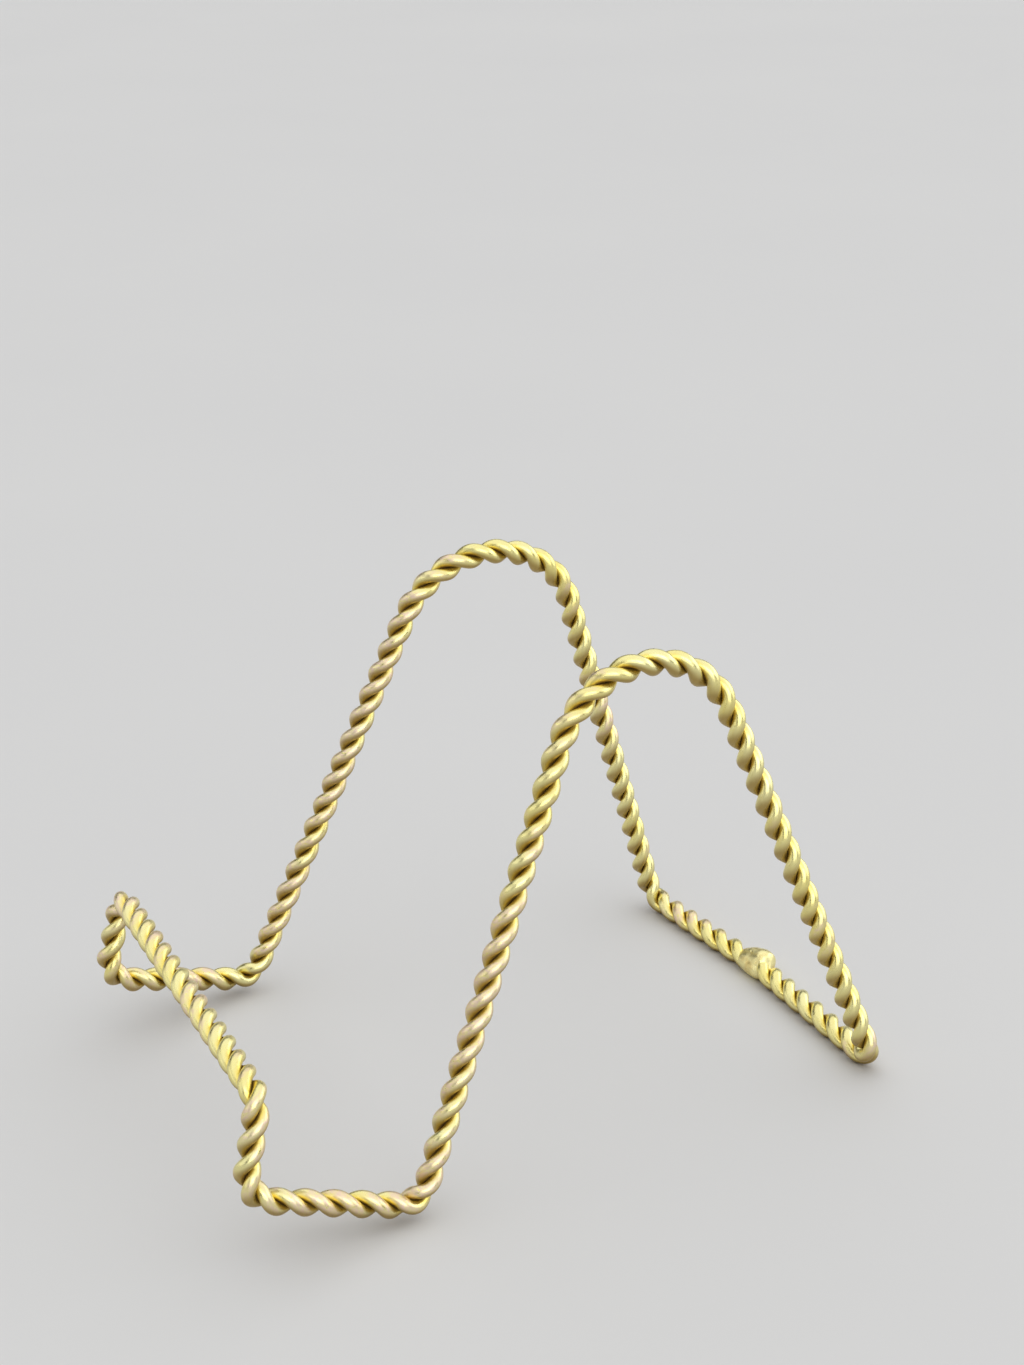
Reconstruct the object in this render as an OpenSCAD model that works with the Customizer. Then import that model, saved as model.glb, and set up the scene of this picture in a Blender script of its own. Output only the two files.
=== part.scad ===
// Book and album easel bent from one closed loop of rope, twisted from two round brass wires.
// +X is the right-hand side seen from the front, +Y points to the back, +Z is up.
// The origin lies on the floor at the centre of the footprint.

/* [Wire rope] */
// Diameter of each of the two wires
wire_d = 2.5; // [2:0.1:2.6]
// Length of rope that holds one full turn of the twist
lay = 10.7; // [10.4:0.1:14]
// Angle of the first wire from straight up, where the rope starts at the seam
twist_start = 87; // [0:1:179]

/* [Front cradle] */
// Width of the lip bar between the centres of its corners
lip_w = 82; // [60:1:120]
// Height of the centre of the lip bar
lip_z = 31.5; // [26:0.1:42]
// Distance of the lip bar in front of the heels
lip_y = 28.4; // [20:0.2:32]
// Width across the foot of the two risers
riser_w = 85.2; // [66:0.2:126]
// Height of the foot of each riser
riser_z = 12.2; // [8:0.1:15]
// Distance of the foot of each riser in front of the heels
riser_y = 32.8; // [25:0.1:38]

/* [Back rest] */
// Width between the two heels, where the cradle turns up into the uprights
heel_w = 90.8; // [70:0.2:130]
// Angle of the uprights from the vertical
back_lean = 22.1; // [18:0.1:26]
// Overall height of the stand
stand_h = 98.7; // [90:0.1:120]

/* [Rear legs] */
// Distance from the heels to the floor bar, midway between its corners
base_d = 98.7; // [92:0.1:112]
// Width of the floor bar between the centres of its corners
floor_bar_w = 81.2; // [60:0.2:110]
// Angle by which the floor bar is turned out of square
floor_bar_skew = 4.5; // [0:0.1:6]
// Angle by which each leg leans in towards the other
leg_in = 5; // [2:0.1:8]

/* [Bends] */
// Radius of the arch at the top of the right side
right_arch_r = 19.5; // [16:0.5:22]
// Radius of the arch at the top of the left side
left_arch_r = 19.5; // [16:0.5:22]
// Radius of the two corners of the lip bar
lip_r = 4.6; // [4:0.1:8]
// Radius of the bend at the foot of each riser
riser_r = 6.2; // [4:0.1:8]
// Radius of the bend at each heel
heel_r = 5; // [4:0.1:8]
// Radius of the two corners of the floor bar
floor_bar_r = 4.4; // [4:0.1:8]

/* [Seam] */
// Length of the solder that joins the two ends of the rope
seam_len = 8; // [4:0.5:10]
// How far the solder stands proud of the rope
seam_proud = 0.8; // [0.2:0.1:1]
// How far the seam lies behind the straight line between the floor bar's corners
seam_back = 2.4; // [0:0.1:4]
// How far the seam lies to the left of the middle of the floor bar
seam_side = 3.5; // [0:0.5:10]

/* [Hidden] */

brass = [0.84, 0.68, 0.34];
solder = [0.80, 0.66, 0.38];

wire_sides = 8;
rings_per_turn = 8;
// The facetted wire has the same section area as the round one.
facet_r = wire_d / 2 * sqrt((2 * PI / wire_sides) / sin(360 / wire_sides));
facet_flat = facet_r * cos(180 / wire_sides);
// Distance of each wire's centre from the rope's centre, with a hair of air between the wires
wire_air = 0.08;
wire_out = wire_d / 2 + wire_air;
rope_r = norm([wire_out + facet_flat, facet_r * sin(180 / wire_sides)]);
// From the heels back to the middle of the footprint
origin_y = 35.1;
tiny = 0.01;

// The arch of one side in side view: its centre, and the lean of the leg that is tangent to it
function arch_z(r) = stand_h - rope_r - r;
function arch_y(r) = (r + (arch_z(r) - rope_r) * sin(back_lean)) / cos(back_lean);
function leg_lean(r, foot_y) =
    let (dy = foot_y - arch_y(r), dz = arch_z(r) - rope_r)
    atan2(dy, dz) - asin(r / norm([dy, dz]));
// Where the lines of the upright and the leg of one side would meet above the arch
function apex(r, foot) =
    let (
        lean = leg_lean(r, foot.y),
        up = foot.y / (tan(back_lean) + tan(lean))
    )
    [foot.x - sign(foot.x) * up * tan(leg_in), up * tan(back_lean), rope_r + up];

// A point of the floor bar's line, along it from the middle and back from it
function floor_bar_point(along, back) =
    [
        along * cos(floor_bar_skew) - back * sin(floor_bar_skew),
        base_d + along * sin(floor_bar_skew) + back * cos(floor_bar_skew),
        rope_r
    ];
right_foot = floor_bar_point(floor_bar_w / 2, 0);
left_foot = floor_bar_point(-floor_bar_w / 2, 0);
seam = floor_bar_point(-seam_side, seam_back);
// The two halves of the floor bar meet the seam at this angle, so their ends start a little off it.
seam_angle = atan(seam_back / (floor_bar_w / 2 - seam_side));
rope_start = seam_len / 2 + rope_r * tan(seam_angle);

// The rope's route as the corners of a closed line, each with the radius that rounds it.
// It starts and ends at the seam, and goes up the right side and down the left.
route = [
    [seam, 0],
    [right_foot, floor_bar_r],
    [apex(right_arch_r, right_foot), right_arch_r],
    [[heel_w / 2, 0, rope_r], heel_r],
    [[riser_w / 2, -riser_y, riser_z], riser_r],
    [[lip_w / 2, -lip_y, lip_z], lip_r],
    [[-lip_w / 2, -lip_y, lip_z], lip_r],
    [[-riser_w / 2, -riser_y, riser_z], riser_r],
    [[-heel_w / 2, 0, rope_r], heel_r],
    [apex(left_arch_r, left_foot), left_arch_r],
    [left_foot, floor_bar_r],
    [seam, 0]
];
SEAM = 0;
RIGHT_FOOT = 1;
RIGHT_ARCH = 2;
RIGHT_HEEL = 3;
RIGHT_RISER_FOOT = 4;
RIGHT_LIP = 5;
LEFT_LIP = 6;
LEFT_RISER_FOOT = 7;
LEFT_HEEL = 8;
LEFT_ARCH = 9;
LEFT_FOOT = 10;
last_corner = len(route) - 1;

function unit(v) = v / norm(v);
function corner(i) = route[i][0];
function radius(i) = route[i][1];
function way(i) = unit(corner(i + 1) - corner(i));
function turn(i) = i == 0 || i == last_corner ? 0 : acos(way(i - 1) * way(i));
// Length of straight line that the rounding of a corner takes on each side of it
function cut(i) = radius(i) * tan(turn(i) / 2);
function straight(i) = norm(corner(i + 1) - corner(i)) - cut(i) - cut(i + 1);
function bend_len(i) = radius(i) * turn(i) * PI / 180;
// Direction from the start of a bend to its centre
function bend_in(i) = unit(way(i) - way(i - 1) * cos(turn(i)));
// The reference direction across the rope, carried round a bend without twisting
function carried(ref, i, angle) =
    let (inward = bend_in(i), side = cross(way(i - 1), inward))
    (ref * inward) * (inward * cos(angle) - way(i - 1) * sin(angle)) + (ref * side) * side;

// For each corner: the length of rope up to the start of its bend, and the reference there
bend_table = [
    for (
        i = 0, s = 0, ref = [0, 0, 1];
        i <= last_corner;
        s = s + bend_len(i) + (i < last_corner ? straight(i) : 0),
        ref = turn(i) > 0 ? carried(ref, i, turn(i)) : ref,
        i = i + 1
    ) [s, ref]
];
function bend_start(i) = bend_table[i][0];
function bend_end(i) = bend_start(i) + bend_len(i);
function bend_middle(i) = bend_start(i) + bend_len(i) / 2;
rope_len = bend_start(last_corner);

// The last corner whose bend starts at or before a length s
function corner_before(s, i = last_corner) = i == 0 || bend_start(i) <= s ? i : corner_before(s, i - 1);

// Centre, direction and reference of the rope at a length s from the seam
function rope_at(s) =
    let (
        i = corner_before(s),
        past = s - bend_start(i),
        in_bend = past < bend_len(i),
        angle = in_bend ? past / radius(i) * 180 / PI : turn(i),
        before = i == 0 ? way(0) : way(i - 1),
        inward = turn(i) > 0 ? bend_in(i) : [0, 0, 0],
        r = radius(i),
        start = corner(i) - before * cut(i),
        ahead = min(i, last_corner - 1),
        ref = bend_ref(i, angle)
    )
    in_bend
        ? [start + before * r * sin(angle) + inward * r * (1 - cos(angle)),
           before * cos(angle) + inward * sin(angle), ref]
        : [corner(i) + way(ahead) * (cut(i) + past - bend_len(i)), way(ahead), ref];
function bend_ref(i, angle) =
    turn(i) > 0 ? carried(bend_table[i][1], i, angle) : bend_table[i][1];

// Direction from the rope's centre to one wire's centre
function wire_dir(at, s, wire) =
    let (angle = twist_start + 360 * s / lay + 180 * wire)
    at[2] * cos(angle) + cross(at[1], at[2]) * sin(angle);
function wire_centre(s, wire) =
    let (at = rope_at(s))
    at[0] + wire_dir(at, s, wire) * wire_out;

// One ring of points round a wire, square to the wire itself
function wire_ring(s, wire) =
    let (
        centre = wire_centre(s, wire),
        along = unit(wire_centre(s + tiny, wire) - wire_centre(s - tiny, wire)),
        out = wire_dir(rope_at(s), s, wire),
        across = unit(out - along * (out * along)),
        side = cross(along, across)
    )
    [
        for (j = [0:wire_sides - 1])
            let (angle = 360 * (j + 0.5) / wire_sides)
            centre + (across * cos(angle) + side * sin(angle)) * facet_r
    ];

module wire(from, to, which) {
    steps = max(2, ceil((to - from) / lay * rings_per_turn));
    n = wire_sides;
    points = [for (i = [0:steps]) each wire_ring(from + (to - from) * i / steps, which)];
    walls = [
        for (i = [0:steps - 1], j = [0:n - 1])
            let (a = i * n + j, b = i * n + (j + 1) % n)
            each [[a, a + n, b + n], [a, b + n, b]]
    ];
    start_cap = [for (j = [0:n - 1]) j];
    end_cap = [for (j = [n - 1:-1:0]) steps * n + j];
    polyhedron(points, concat([start_cap], walls, [end_cap]));
}

// Both wires of the rope between two lengths from the seam
module rope(from, to) {
    color(brass) {
        translate([0, -origin_y, 0]) wire(from, to, 0);
        translate([0, -origin_y, 0]) wire(from, to, 1);
    }
}

module right_floor_bar() { rope(rope_start, bend_middle(RIGHT_FOOT)); }
module right_leg() { rope(bend_middle(RIGHT_FOOT), bend_start(RIGHT_ARCH)); }
module right_arch() { rope(bend_start(RIGHT_ARCH), bend_end(RIGHT_ARCH)); }
module right_upright() { rope(bend_end(RIGHT_ARCH), bend_middle(RIGHT_HEEL)); }
module right_under_run() { rope(bend_middle(RIGHT_HEEL), bend_middle(RIGHT_RISER_FOOT)); }
module right_riser() { rope(bend_middle(RIGHT_RISER_FOOT), bend_middle(RIGHT_LIP)); }
module lip_bar() { rope(bend_middle(RIGHT_LIP), bend_middle(LEFT_LIP)); }
module left_riser() { rope(bend_middle(LEFT_LIP), bend_middle(LEFT_RISER_FOOT)); }
module left_under_run() { rope(bend_middle(LEFT_RISER_FOOT), bend_middle(LEFT_HEEL)); }
module left_upright() { rope(bend_middle(LEFT_HEEL), bend_start(LEFT_ARCH)); }
module left_arch() { rope(bend_start(LEFT_ARCH), bend_end(LEFT_ARCH)); }
module left_leg() { rope(bend_end(LEFT_ARCH), bend_middle(LEFT_FOOT)); }
module left_floor_bar() { rope(bend_middle(LEFT_FOOT), rope_len - rope_start); }

// A barrel of solder in the gap between the rope's two ends. Its crown is near the right end, and it
// stands proud above and behind the rope.
module seam_solder() {
    crown_r = rope_r + seam_proud;
    end_r = rope_r - seam_proud / 2;
    color(solder)
        translate(seam + [0, seam_proud / 2 - origin_y, seam_proud])
            rotate([0, 0, floor_bar_skew])
                rotate([0, 90, 0])
                    rotate_extrude($fn = 48)
                        polygon([
                            [0, -seam_len / 2],
                            [end_r, -seam_len / 2],
                            [crown_r, seam_len / 10],
                            [crown_r, seam_len * 2 / 5],
                            [end_r, seam_len / 2],
                            [0, seam_len / 2]
                        ]);
}

lip_bar();
right_riser();
left_riser();
right_under_run();
left_under_run();
right_upright();
left_upright();
right_arch();
left_arch();
right_leg();
left_leg();
right_floor_bar();
left_floor_bar();
seam_solder();
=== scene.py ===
import math

import bpy
import numpy as np
from mathutils import Matrix, Quaternion, Vector


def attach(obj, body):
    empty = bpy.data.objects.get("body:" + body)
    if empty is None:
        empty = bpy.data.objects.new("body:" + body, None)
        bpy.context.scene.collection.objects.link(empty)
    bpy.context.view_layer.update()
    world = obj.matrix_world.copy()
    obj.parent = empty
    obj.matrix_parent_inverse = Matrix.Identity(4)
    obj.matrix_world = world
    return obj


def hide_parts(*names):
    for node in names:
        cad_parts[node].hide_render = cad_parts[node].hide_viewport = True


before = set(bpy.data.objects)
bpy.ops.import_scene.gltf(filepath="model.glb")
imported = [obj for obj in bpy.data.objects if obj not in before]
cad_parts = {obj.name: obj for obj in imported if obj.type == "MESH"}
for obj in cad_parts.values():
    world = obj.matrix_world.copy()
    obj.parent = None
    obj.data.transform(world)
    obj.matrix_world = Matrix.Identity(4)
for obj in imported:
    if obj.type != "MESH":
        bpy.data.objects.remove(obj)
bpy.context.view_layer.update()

# ---------------------------------------------------------------------------------------------
# Driving sizes, in millimetres and radians. The rope's route is the one that the CAD nodes follow.
# Widths run from middle to middle of the rope, Y is forward of the heels, and Z is up from the floor.
# ---------------------------------------------------------------------------------------------
MM = 0.001

# The rope
LAY = 10.7  # length of one full turn of the twist
TWIST_START = math.radians(87)
WIRE_R = 1.285
WIRE_OUT = 1.24  # from the rope's middle to each wire's
ROPE_R = 2.5965  # how far its middle is from the floor

# The route
LIP_W = 82
LIP_Z = 31.5
LIP_Y = 28.4
RISER_W = 85.2
RISER_Z = 12.2
RISER_Y = 32.8
HEEL_W = 90.8
BACK_LEAN = math.radians(22.1)
STAND_H = 98.7
BASE_D = 98.7  # from the heels back to the floor bar
FLOOR_BAR_W = 81.2
FLOOR_BAR_SKEW = math.radians(4.5)
SEAM_BACK = 2.4
SEAM_SIDE = 3.5
LEG_IN = math.radians(5)
ARCH_R = 19.5
LIP_R = 4.6
RISER_R = 6.2
HEEL_R = 5
FLOOR_BAR_R = 4.4
ORIGIN_Y = 35.1  # from the heels back to the frame's origin

# Hand-made unevenness: each term is a size and its wavelength along the rope
TWIST_WANDER = ((0.10, 61), (0.07, 37), (0.05, 23))  # in radians
TWIST_SEED = 5
THICKNESS_WANDER = ((0.004, 9.1), (0.003, 5.3))  # in parts of the wire's radius
THICKNESS_SEED = 11

# The lump of solder. Its directions go round the rope from the back (0) by way of the top (90 degrees).
WIRE_END_GAP = 0.5  # from the middle of the seam to the wires' ends, inside the solder
BEAD_HALF = 5
BEAD_R = 2.44
BEAD_RIPPLE = 0.012
CROWN_H = 1.75
CROWN_WAY = math.radians(58)
BELLY_H = 0.3
BELLY_WAY = math.radians(200)

# Mesh density
WIRE_SIDES = 24
RINGS_PER_TURN = 30
BEAD_SIDES = 96
BEAD_RINGS = 84

WIRE_SPACE_STEP = 1000  # keeps the two wires' textures apart

# ---------------------------------------------------------------------------------------------
# The rope's route
# ---------------------------------------------------------------------------------------------


def unit(v):
    return v / np.linalg.norm(v)


def floor_bar_point(along, back):
    """A point of the floor bar's line, along it from the middle and back from it."""
    cos, sin = math.cos(FLOOR_BAR_SKEW), math.sin(FLOOR_BAR_SKEW)
    return np.array([along * cos - back * sin, BASE_D + along * sin + back * cos, ROPE_R])


def apex(radius, foot):
    """Where the lines of the upright and the leg of one side meet above the arch that joins them."""
    arch_z = STAND_H - ROPE_R - radius
    arch_y = (radius + (arch_z - ROPE_R) * math.sin(BACK_LEAN)) / math.cos(BACK_LEAN)
    dy, dz = foot[1] - arch_y, arch_z - ROPE_R
    lean = math.atan2(dy, dz) - math.asin(radius / math.hypot(dy, dz))
    up = foot[1] / (math.tan(BACK_LEAN) + math.tan(lean))
    inward = math.copysign(up * math.tan(LEG_IN), foot[0])
    return np.array([foot[0] - inward, up * math.tan(BACK_LEAN), ROPE_R + up])


SEAM = floor_bar_point(-SEAM_SIDE, SEAM_BACK)


def rope_route():
    """The closed route's corners with the radius that rounds each, from the seam up the right side."""
    right_foot = floor_bar_point(FLOOR_BAR_W / 2, 0)
    left_foot = floor_bar_point(-FLOOR_BAR_W / 2, 0)
    return [
        (SEAM, 0),
        (right_foot, FLOOR_BAR_R),
        (apex(ARCH_R, right_foot), ARCH_R),
        (np.array([HEEL_W / 2, 0, ROPE_R]), HEEL_R),
        (np.array([RISER_W / 2, -RISER_Y, RISER_Z]), RISER_R),
        (np.array([LIP_W / 2, -LIP_Y, LIP_Z]), LIP_R),
        (np.array([-LIP_W / 2, -LIP_Y, LIP_Z]), LIP_R),
        (np.array([-RISER_W / 2, -RISER_Y, RISER_Z]), RISER_R),
        (np.array([-HEEL_W / 2, 0, ROPE_R]), HEEL_R),
        (apex(ARCH_R, left_foot), ARCH_R),
        (left_foot, FLOOR_BAR_R),
        (SEAM, 0),
    ]


def stretches(route):
    """The route as straight runs and arcs: (length, start, way, inward, radius), with no inward on a run."""
    corners = [corner for corner, _ in route]
    ways = [unit(b - a) for a, b in zip(corners, corners[1:])]
    found, at = [], corners[0]
    for i, (corner, radius) in enumerate(route[1:], 1):
        if i == len(route) - 1:
            found.append((np.linalg.norm(corner - at), at, ways[i - 1], None, 0))
            break
        turn = math.acos(ways[i - 1] @ ways[i])
        cut = radius * math.tan(turn / 2)
        bend = corner - ways[i - 1] * cut
        inward = unit(ways[i] - ways[i - 1] * math.cos(turn))
        found.append((np.linalg.norm(bend - at), at, ways[i - 1], None, 0))
        found.append((radius * turn, bend, ways[i - 1], inward, radius))
        at = corner + ways[i] * cut
    return found


def carried(ref, way, inward, angle):
    """A reference direction carried round an arc by an angle without twisting."""
    side = np.cross(way, inward)
    turned = np.outer(np.cos(angle), inward) - np.outer(np.sin(angle), way)
    return (ref @ inward) * turned + (ref @ side) * side


def walk(route, s):
    """Centre, direction and untwisted reference of the rope at each length in s."""
    centre, way_at, ref_at = (np.zeros((len(s), 3)) for _ in range(3))
    ref, begun = np.array([0.0, 0.0, 1.0]), 0.0
    for length, start, way, inward, radius in stretches(route):
        here = (s >= begun - 1e-9) & (s <= begun + length + 1e-9)
        along = (s[here] - begun)[:, None]
        if inward is None:
            centre[here], way_at[here], ref_at[here] = start + along * way, way, ref
        else:
            angle = along / radius
            centre[here] = start + radius * (np.sin(angle) * way + (1 - np.cos(angle)) * inward)
            way_at[here] = np.cos(angle) * way + np.sin(angle) * inward
            ref_at[here] = carried(ref, way, inward, angle[:, 0])
            ref = carried(ref, way, inward, np.array([length / radius]))[0]
        begun += length
    return centre, way_at, ref_at


ROUTE = rope_route()
ROPE_LEN = sum(stretch[0] for stretch in stretches(ROUTE))

# ---------------------------------------------------------------------------------------------
# Meshes
# ---------------------------------------------------------------------------------------------


def new_object(name, vertices, faces, smooth=True):
    mesh = bpy.data.meshes.new(name)
    mesh.from_pydata(vertices.tolist(), [], faces)
    mesh.validate()
    mesh.polygons.foreach_set("use_smooth", [smooth] * len(mesh.polygons))
    made = bpy.data.objects.new(name, mesh)
    bpy.context.scene.collection.objects.link(made)
    return made


def add_attribute(made, name, kind, values):
    field = "vector" if kind == "FLOAT_VECTOR" else "value"
    attribute = made.data.attributes.new(name, kind, "POINT")
    attribute.data.foreach_set(field, np.asarray(values, np.float32).ravel())


def wander(s, seed, terms):
    """A slow smooth wander along the rope, as a sum of sines: each term is (size, wavelength)."""
    draw = np.random.default_rng(seed)
    return sum(size * np.sin(2 * np.pi * s / wave + draw.uniform(0, 2 * np.pi)) for size, wave in terms)


def tube_faces(rings, sides):
    """Quads between neighbouring rings, and one polygon at each end."""
    faces = [
        (i * sides + j, i * sides + (j + 1) % sides, (i + 1) * sides + (j + 1) % sides, (i + 1) * sides + j)
        for i in range(rings - 1)
        for j in range(sides)
    ]
    first = list(range(sides))[::-1]
    last = [(rings - 1) * sides + j for j in range(sides)]
    return faces + [first, last]


def make_wire(name, start, end, half_turn):
    """One of the two wires, swept along its helix round the whole loop: half_turn is 0 or 1.

    Its attribute groove goes from 0 on the crest to 1 where the wires touch. Its attribute wire_space
    follows the wire, with the length along the rope as the third part.
    """
    rings = int((end - start) / LAY * RINGS_PER_TURN)
    s = np.linspace(start, end, rings)
    centre, way, ref = walk(ROUTE, s)
    twist = TWIST_START + 2 * np.pi * s / LAY + half_turn * np.pi + wander(s, TWIST_SEED, TWIST_WANDER)
    out = ref * np.cos(twist)[:, None] + np.cross(way, ref) * np.sin(twist)[:, None]
    line = centre + out * WIRE_OUT
    along = np.gradient(line, axis=0)
    along /= np.linalg.norm(along, axis=1)[:, None]
    across = out - along * np.sum(out * along, axis=1)[:, None]
    across /= np.linalg.norm(across, axis=1)[:, None]
    side = np.cross(along, across)

    around = np.linspace(0, 2 * np.pi, WIRE_SIDES, endpoint=False)
    thickness = WIRE_R * (1 + wander(s, THICKNESS_SEED + half_turn, THICKNESS_WANDER))[:, None, None]
    ring = np.cos(around)[None, :, None] * across[:, None] + np.sin(around)[None, :, None] * side[:, None]
    points = (line[:, None] + ring * thickness).reshape(-1, 3)
    points[:, 1] -= ORIGIN_Y

    made = new_object(name, points * MM, tube_faces(rings, WIRE_SIDES))
    groove = np.broadcast_to((1 - np.cos(around)) / 2, (rings, WIRE_SIDES))
    add_attribute(made, "groove", "FLOAT", groove)
    wire_space = np.stack(
        [
            np.broadcast_to(WIRE_R * np.cos(around), groove.shape),
            np.broadcast_to(WIRE_R * np.sin(around), groove.shape),
            np.broadcast_to(s[:, None] + WIRE_SPACE_STEP * half_turn, groove.shape),
        ],
        axis=-1,
    )
    add_attribute(made, "wire_space", "FLOAT_VECTOR", wire_space)
    return made


def smoothstep(value, low, high):
    """From 0 at low to 1 at high, level at both ends."""
    t = np.clip((value - low) / (high - low), 0, 1)
    return t * t * (3 - 2 * t)


def make_bead():
    """The solder that joins the rope's ends: it climbs from the left to a crown, and drops at the right."""
    x = np.linspace(-BEAD_HALF, BEAD_HALF, BEAD_RINGS)[:, None]
    around = np.linspace(0, 2 * np.pi, BEAD_SIDES, endpoint=False)[None, :]
    body = np.clip(1 - np.abs(x / BEAD_HALF) ** 4, 0, 1) ** 0.6
    crown = smoothstep(x, -5.0, 2.4) * (1 - smoothstep(x, 2.9, 4.7))
    belly = smoothstep(x, -4.4, -2.6) * (1 - smoothstep(x, 2.4, 4.4))
    above = np.clip(np.cos(around - CROWN_WAY), 0, 1) ** 1.3
    ahead = np.clip(np.cos(around - BELLY_WAY), 0, 1) ** 2
    ripple = np.sin(1.3 * x + 2 * around) + 0.7 * np.sin(2.1 * x - around)
    radius = BEAD_R * body + CROWN_H * crown * above + BELLY_H * belly * ahead
    radius = radius * (1 + BEAD_RIPPLE * ripple * body)
    points = np.stack(
        [
            np.broadcast_to(x, radius.shape),
            radius * np.cos(around),
            radius * np.sin(around),
        ],
        axis=-1,
    ).reshape(-1, 3)
    turn = Matrix.Rotation(FLOOR_BAR_SKEW, 3, "Z")
    points = points @ np.array(turn).T + SEAM
    points[:, 1] -= ORIGIN_Y
    return new_object("seam_bead", points * MM, tube_faces(BEAD_RINGS, BEAD_SIDES))


# ---------------------------------------------------------------------------------------------
# Materials
# ---------------------------------------------------------------------------------------------


class Shader:
    """A material's node tree, built by short calls."""

    def __init__(self, name):
        self.material = bpy.data.materials.new(name)
        self.material.use_nodes = True
        self.tree = self.material.node_tree
        self.surface = self.tree.nodes["Principled BSDF"]

    def node(self, kind, settings=None, **inputs):
        """A new node. An input's name has _ for each space, and its value is a constant or a socket."""
        made = self.tree.nodes.new(kind)
        for field, value in (settings or {}).items():
            setattr(made, field, value)
        for socket, value in inputs.items():
            self.put(made.inputs[socket.replace("_", " ")], value)
        return made

    def put(self, socket, value):
        if isinstance(value, bpy.types.NodeSocket):
            self.tree.links.new(value, socket)
        else:
            socket.default_value = value

    def attribute(self, name, output):
        return self.node("ShaderNodeAttribute", {"attribute_name": name}).outputs[output]

    def stretched(self, vector, scale):
        made = self.node("ShaderNodeMapping", {"vector_type": "POINT"}, Vector=vector)
        made.inputs["Scale"].default_value = scale
        return made.outputs["Vector"]

    def noise(self, vector, scale, detail=3.0, roughness=0.5):
        made = self.node("ShaderNodeTexNoise", Vector=vector, Scale=scale, Detail=detail, Roughness=roughness)
        return made.outputs["Fac"]

    def ramp(self, value, low, high, to_low=0.0, to_high=1.0):
        """From to_low where the value is low to to_high where it is high, smoothly and clamped."""
        made = self.node("ShaderNodeMapRange", {"interpolation_type": "SMOOTHSTEP"}, Value=value)
        for socket, number in zip(("From Min", "From Max", "To Min", "To Max"), (low, high, to_low, to_high)):
            made.inputs[socket].default_value = number
        return made.outputs["Result"]

    def math(self, operation, a, b):
        made = self.node("ShaderNodeMath", {"operation": operation})
        self.put(made.inputs[0], a)
        self.put(made.inputs[1], b)
        return made.outputs["Value"]

    def mix(self, factor, a, b):
        """A mix of two colours, whose sockets share their names with the other data types'."""
        made = self.node("ShaderNodeMix", {"data_type": "RGBA"})
        for socket, value in zip((made.inputs["Factor"], made.inputs[6], made.inputs[7]), (factor, a, b)):
            self.put(socket, value)
        return made.outputs[2]

    def painted_shade_underneath(self, noise):
        """How far the surface faces down, broken up by a noise: the mask of the painted shade on the
        undersides.
        """
        normal = self.node("ShaderNodeNewGeometry").outputs["Normal"]
        up = self.node("ShaderNodeSeparateXYZ", Vector=normal).outputs["Z"]
        ragged = self.math("ADD", up, self.math("MULTIPLY", self.math("SUBTRACT", noise, 0.5), 0.6))
        return self.ramp(ragged, -0.48, 0.26, 1.0, 0.0)

    def bump(self, height, distance, strength, normal=None):
        made = self.node("ShaderNodeBump", Height=height)
        made.inputs["Distance"].default_value = distance
        made.inputs["Strength"].default_value = strength
        if normal is not None:
            self.put(made.inputs["Normal"], normal)
        return made.outputs["Normal"]


def rgb(r, g, b):
    return (r, g, b, 1.0)


LEMON = rgb(0.91, 0.855, 0.43)
GOLD = rgb(0.89, 0.79, 0.29)
PINK_TARNISH = rgb(0.85, 0.655, 0.565)
GROOVE_PAINTED_REFLECTION = rgb(0.92, 0.74, 0.17)
UNDERSIDE_PAINTED_SHADE = rgb(0.38, 0.26, 0.08)
GROOVE_GRIME_AND_SHADE = rgb(0.22, 0.13, 0.04)
STREAK = rgb(0.55, 0.42, 0.16)
SOLDER = rgb(0.95, 0.86, 0.42)
FLUX = rgb(0.80, 0.63, 0.25)


def tarnish_mask(m, place, groove, blotch, speck):
    """Tarnish sits on the crests, and mostly at the front corners, where the stand is held."""
    patch = m.noise(place, 42, detail=3)
    spots = m.math("MULTIPLY", m.math("SUBTRACT", blotch, 0.5), 0.7)
    crest = m.ramp(groove, 0.0, 0.35, 0.07, 0.0)
    parts = m.node("ShaderNodeSeparateXYZ", Vector=place)
    front = m.ramp(parts.outputs["Y"], -0.055, 0.03, 0.03, -0.10)
    corner = m.ramp(m.math("ABSOLUTE", parts.outputs["X"], 0.0), 0.024, 0.040, -0.07, 0.02)
    handled = m.math("ADD", m.math("ADD", patch, spots), m.math("ADD", crest, m.math("ADD", front, corner)))
    return m.math("MULTIPLY", m.ramp(handled, 0.48, 0.62), m.ramp(speck, 0.30, 0.62))


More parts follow.
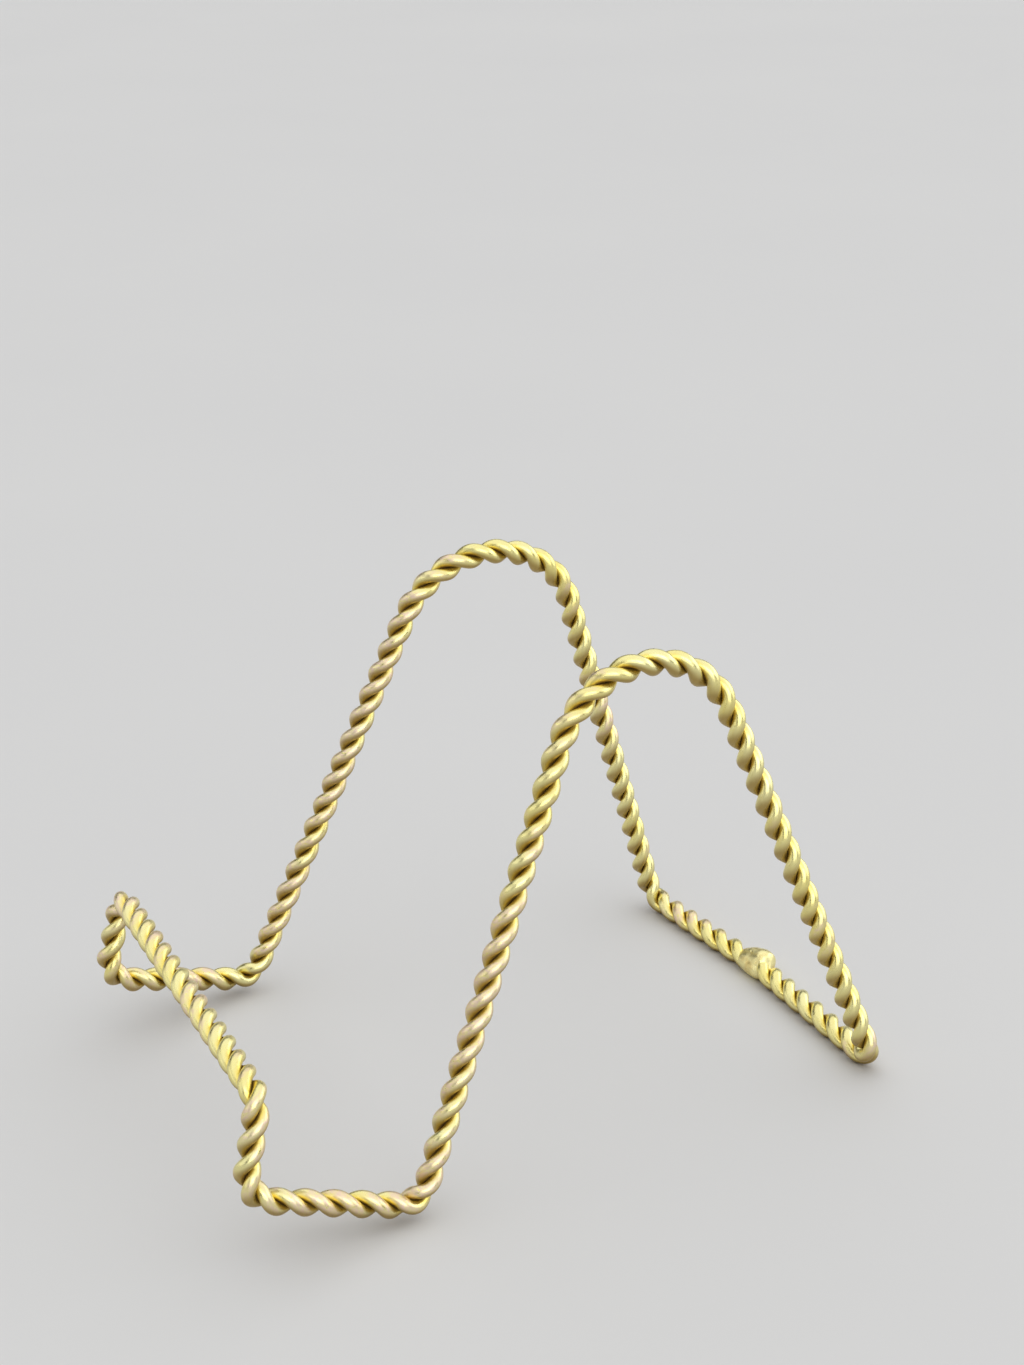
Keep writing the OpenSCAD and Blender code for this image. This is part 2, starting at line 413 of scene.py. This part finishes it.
def brass_material():
    """Drawn brass wire with its polish worn: lemon-yellow with pinkish tarnish, brown grime and painted shade
    deep in the grooves, a painted yellow reflection higher in them, and painted shade underneath.
    """
    m = Shader("brass_wire")
    space = m.attribute("wire_space", "Vector")
    groove = m.attribute("groove", "Fac")
    place = m.node("ShaderNodeTexCoord").outputs["Object"]

    blotch = m.noise(place, 95, detail=4, roughness=0.6)
    speck = m.noise(space, 1.7, detail=5, roughness=0.65)
    drawn = m.noise(m.stretched(space, (9.0, 9.0, 0.12)), 1.0, detail=4, roughness=0.6)
    dents = m.noise(space, 0.9, detail=2)

    tarnish = tarnish_mask(m, place, groove, blotch, speck)
    depth = m.math("ADD", groove, m.math("MULTIPLY", m.math("SUBTRACT", speck, 0.5), 0.35))
    grime_and_shade = m.ramp(depth, 0.61, 0.90)
    painted_shade_below = m.painted_shade_underneath(blotch)

    colour = m.mix(m.ramp(blotch, 0.32, 0.68), LEMON, GOLD)
    colour = m.mix(m.math("MULTIPLY", tarnish, 0.85), colour, PINK_TARNISH)
    # Painted reflection: the grooves turn deep yellow towards where the wires touch, standing in for light
    # bounced between the two wires
    colour = m.mix(m.ramp(depth, 0.25, 0.70), colour, GROOVE_PAINTED_REFLECTION)
    # Painted shade: faces that look down are darkened to a dull brown
    colour = m.mix(m.math("MULTIPLY", painted_shade_below, 0.92), colour, UNDERSIDE_PAINTED_SHADE)
    # Grime and painted shade: dark brown deep in the grooves, where the wires touch
    colour = m.mix(m.math("MULTIPLY", grime_and_shade, 0.85), colour, GROOVE_GRIME_AND_SHADE)
    colour = m.mix(m.ramp(drawn, 0.35, 0.75, 0.0, 0.12), colour, STREAK)

    rough = m.math("ADD", m.ramp(speck, 0.3, 0.75, 0.25, 0.36), m.math("MULTIPLY", tarnish, 0.12))
    rough = m.math("ADD", rough, m.math("MULTIPLY", grime_and_shade, 0.26))
    rough = m.math("ADD", rough, m.math("MULTIPLY", painted_shade_below, 0.10))

    normal = m.bump(dents, 0.00008, 0.5)
    normal = m.bump(drawn, 0.00002, 0.5, normal)
    normal = m.bump(speck, 0.00002, 0.35, normal)

    m.put(m.surface.inputs["Base Color"], colour)
    m.put(m.surface.inputs["Roughness"], rough)
    m.put(m.surface.inputs["Normal"], normal)
    m.surface.inputs["Metallic"].default_value = 1.0
    return m.material


def solder_material():
    """Brazing alloy as it froze: duller than the wire, a little pitted, with brown flux left at the edges."""
    m = Shader("solder")
    place = m.node("ShaderNodeTexCoord").outputs["Object"]
    lumps = m.noise(place, 900, detail=4, roughness=0.6)
    stain = m.noise(place, 420, detail=3)
    m.put(m.surface.inputs["Base Color"], m.mix(m.ramp(stain, 0.45, 0.75), SOLDER, FLUX))
    m.put(m.surface.inputs["Roughness"], m.ramp(lumps, 0.3, 0.7, 0.24, 0.42))
    m.put(m.surface.inputs["Normal"], m.bump(lumps, 0.00012, 0.5))
    m.surface.inputs["Metallic"].default_value = 1.0
    return m.material


def floor_material():
    m = Shader("studio_floor")
    place = m.node("ShaderNodeTexCoord").outputs["Object"]
    mottle = m.noise(place, 6, detail=4)
    m.put(m.surface.inputs["Base Color"], m.mix(mottle, rgb(0.75, 0.75, 0.75), rgb(0.78, 0.78, 0.775)))
    m.surface.inputs["Roughness"].default_value = 0.7
    return m.material


# ---------------------------------------------------------------------------------------------
# The object
# ---------------------------------------------------------------------------------------------
wires = [
    make_wire("wire_a", WIRE_END_GAP, ROPE_LEN - WIRE_END_GAP, 0),
    make_wire("wire_b", WIRE_END_GAP, ROPE_LEN - WIRE_END_GAP, 1),
]
bead = make_bead()

brass = brass_material()
for wire in wires:
    wire.data.materials.append(brass)
    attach(wire, "root")
    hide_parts(*[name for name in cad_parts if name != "seam_solder"])
bead.data.materials.append(solder_material())
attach(bead, "root")
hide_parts("seam_solder")

# ---------------------------------------------------------------------------------------------
# Studio, in metres
# ---------------------------------------------------------------------------------------------
STAND_MIDDLE = Vector((0, 0, 0.04))
SOFTBOX_LIT = bpy.data.collections.new("softbox_lit")
for piece in (*wires, bead):
    SOFTBOX_LIT.objects.link(piece)


def make_floor(half):
    corners = np.array([(-half, -half, 0), (half, -half, 0), (half, half, 0), (-half, half, 0)], float)
    floor = new_object("floor", corners, [(0, 1, 2, 3)], smooth=False)
    floor.data.materials.append(floor_material())


def softbox(name, place, width, height, power):
    """A window of soft light on the object alone, so that it leaves no edge on the floor."""
    lamp = bpy.data.lights.new(name, "AREA")
    lamp.shape = "RECTANGLE"
    lamp.size, lamp.size_y = width, height
    lamp.energy = power
    made = bpy.data.objects.new(name, lamp)
    made.location = place
    made.rotation_mode = "QUATERNION"
    made.rotation_quaternion = (STAND_MIDDLE - Vector(place)).to_track_quat("-Z", "Y")
    made.light_linking.receiver_collection = SOFTBOX_LIT
    bpy.context.scene.collection.objects.link(made)


def open_sky(name, from_way, strength, spread):
    """A soft light from far away, spread degrees wide, so that the floor is lit evenly right across."""
    lamp = bpy.data.lights.new(name, "SUN")
    lamp.energy = strength
    lamp.angle = math.radians(spread)
    made = bpy.data.objects.new(name, lamp)
    made.rotation_mode = "QUATERNION"
    made.rotation_quaternion = (-Vector(from_way)).to_track_quat("-Z", "Y")
    bpy.context.scene.collection.objects.link(made)


def make_world(colour, low, high):
    """A room as pale as the floor at the horizon and dark overhead: low and high are its strengths there."""
    world = bpy.data.worlds.new("studio")
    world.use_nodes = True
    tree = world.node_tree
    background = tree.nodes["Background"]
    background.inputs["Color"].default_value = colour
    way = tree.nodes.new("ShaderNodeTexCoord")
    parts = tree.nodes.new("ShaderNodeSeparateXYZ")
    fade = tree.nodes.new("ShaderNodeMapRange")
    fade.interpolation_type = "SMOOTHSTEP"
    for socket, value in (("From Min", 0.02), ("From Max", 0.26), ("To Min", low), ("To Max", high)):
        fade.inputs[socket].default_value = value
    tree.links.new(way.outputs["Generated"], parts.inputs["Vector"])
    tree.links.new(parts.outputs["Z"], fade.inputs["Value"])
    tree.links.new(fade.outputs["Result"], background.inputs["Strength"])
    bpy.context.scene.world = world


def make_camera(place, azimuth, pitch, roll, lens):
    """Azimuth 0 looks along +Y, pitch is down, and roll turns the camera clockwise, all in degrees."""
    a, p = math.radians(azimuth), math.radians(pitch)
    forward = Vector((-math.sin(a) * math.cos(p), math.cos(a) * math.cos(p), -math.sin(p)))
    data = bpy.data.cameras.new("camera")
    data.sensor_width = 36
    data.lens = lens
    data.clip_start, data.clip_end = 0.01, 50
    made = bpy.data.objects.new("camera", data)
    made.location = place
    made.rotation_mode = "QUATERNION"
    made.rotation_quaternion = forward.to_track_quat("-Z", "Y") @ Quaternion((0, 0, 1), -math.radians(roll))
    bpy.context.scene.collection.objects.link(made)
    bpy.context.scene.camera = made


make_floor(half=8)
make_world(rgb(0.86, 0.8585, 0.8565), low=0.742, high=0.08)
open_sky("overhead", (0.05, 0.2, 1.0), strength=2.5, spread=124)
softbox("back_window", (0.25, 1.6, 0.6), width=2.2, height=1.1, power=8.5)
softbox("front_fill", (-0.4, -1.6, 0.65), width=2.2, height=1.0, power=6.0)
softbox("side_window", (1.5, -0.4, 0.75), width=1.9, height=1.1, power=10.5)
make_camera((0.37182, -0.17222, 0.25719), azimuth=64.46, pitch=23.06, roll=0.14, lens=61.27)
bpy.context.scene.view_settings.view_transform = "Standard"
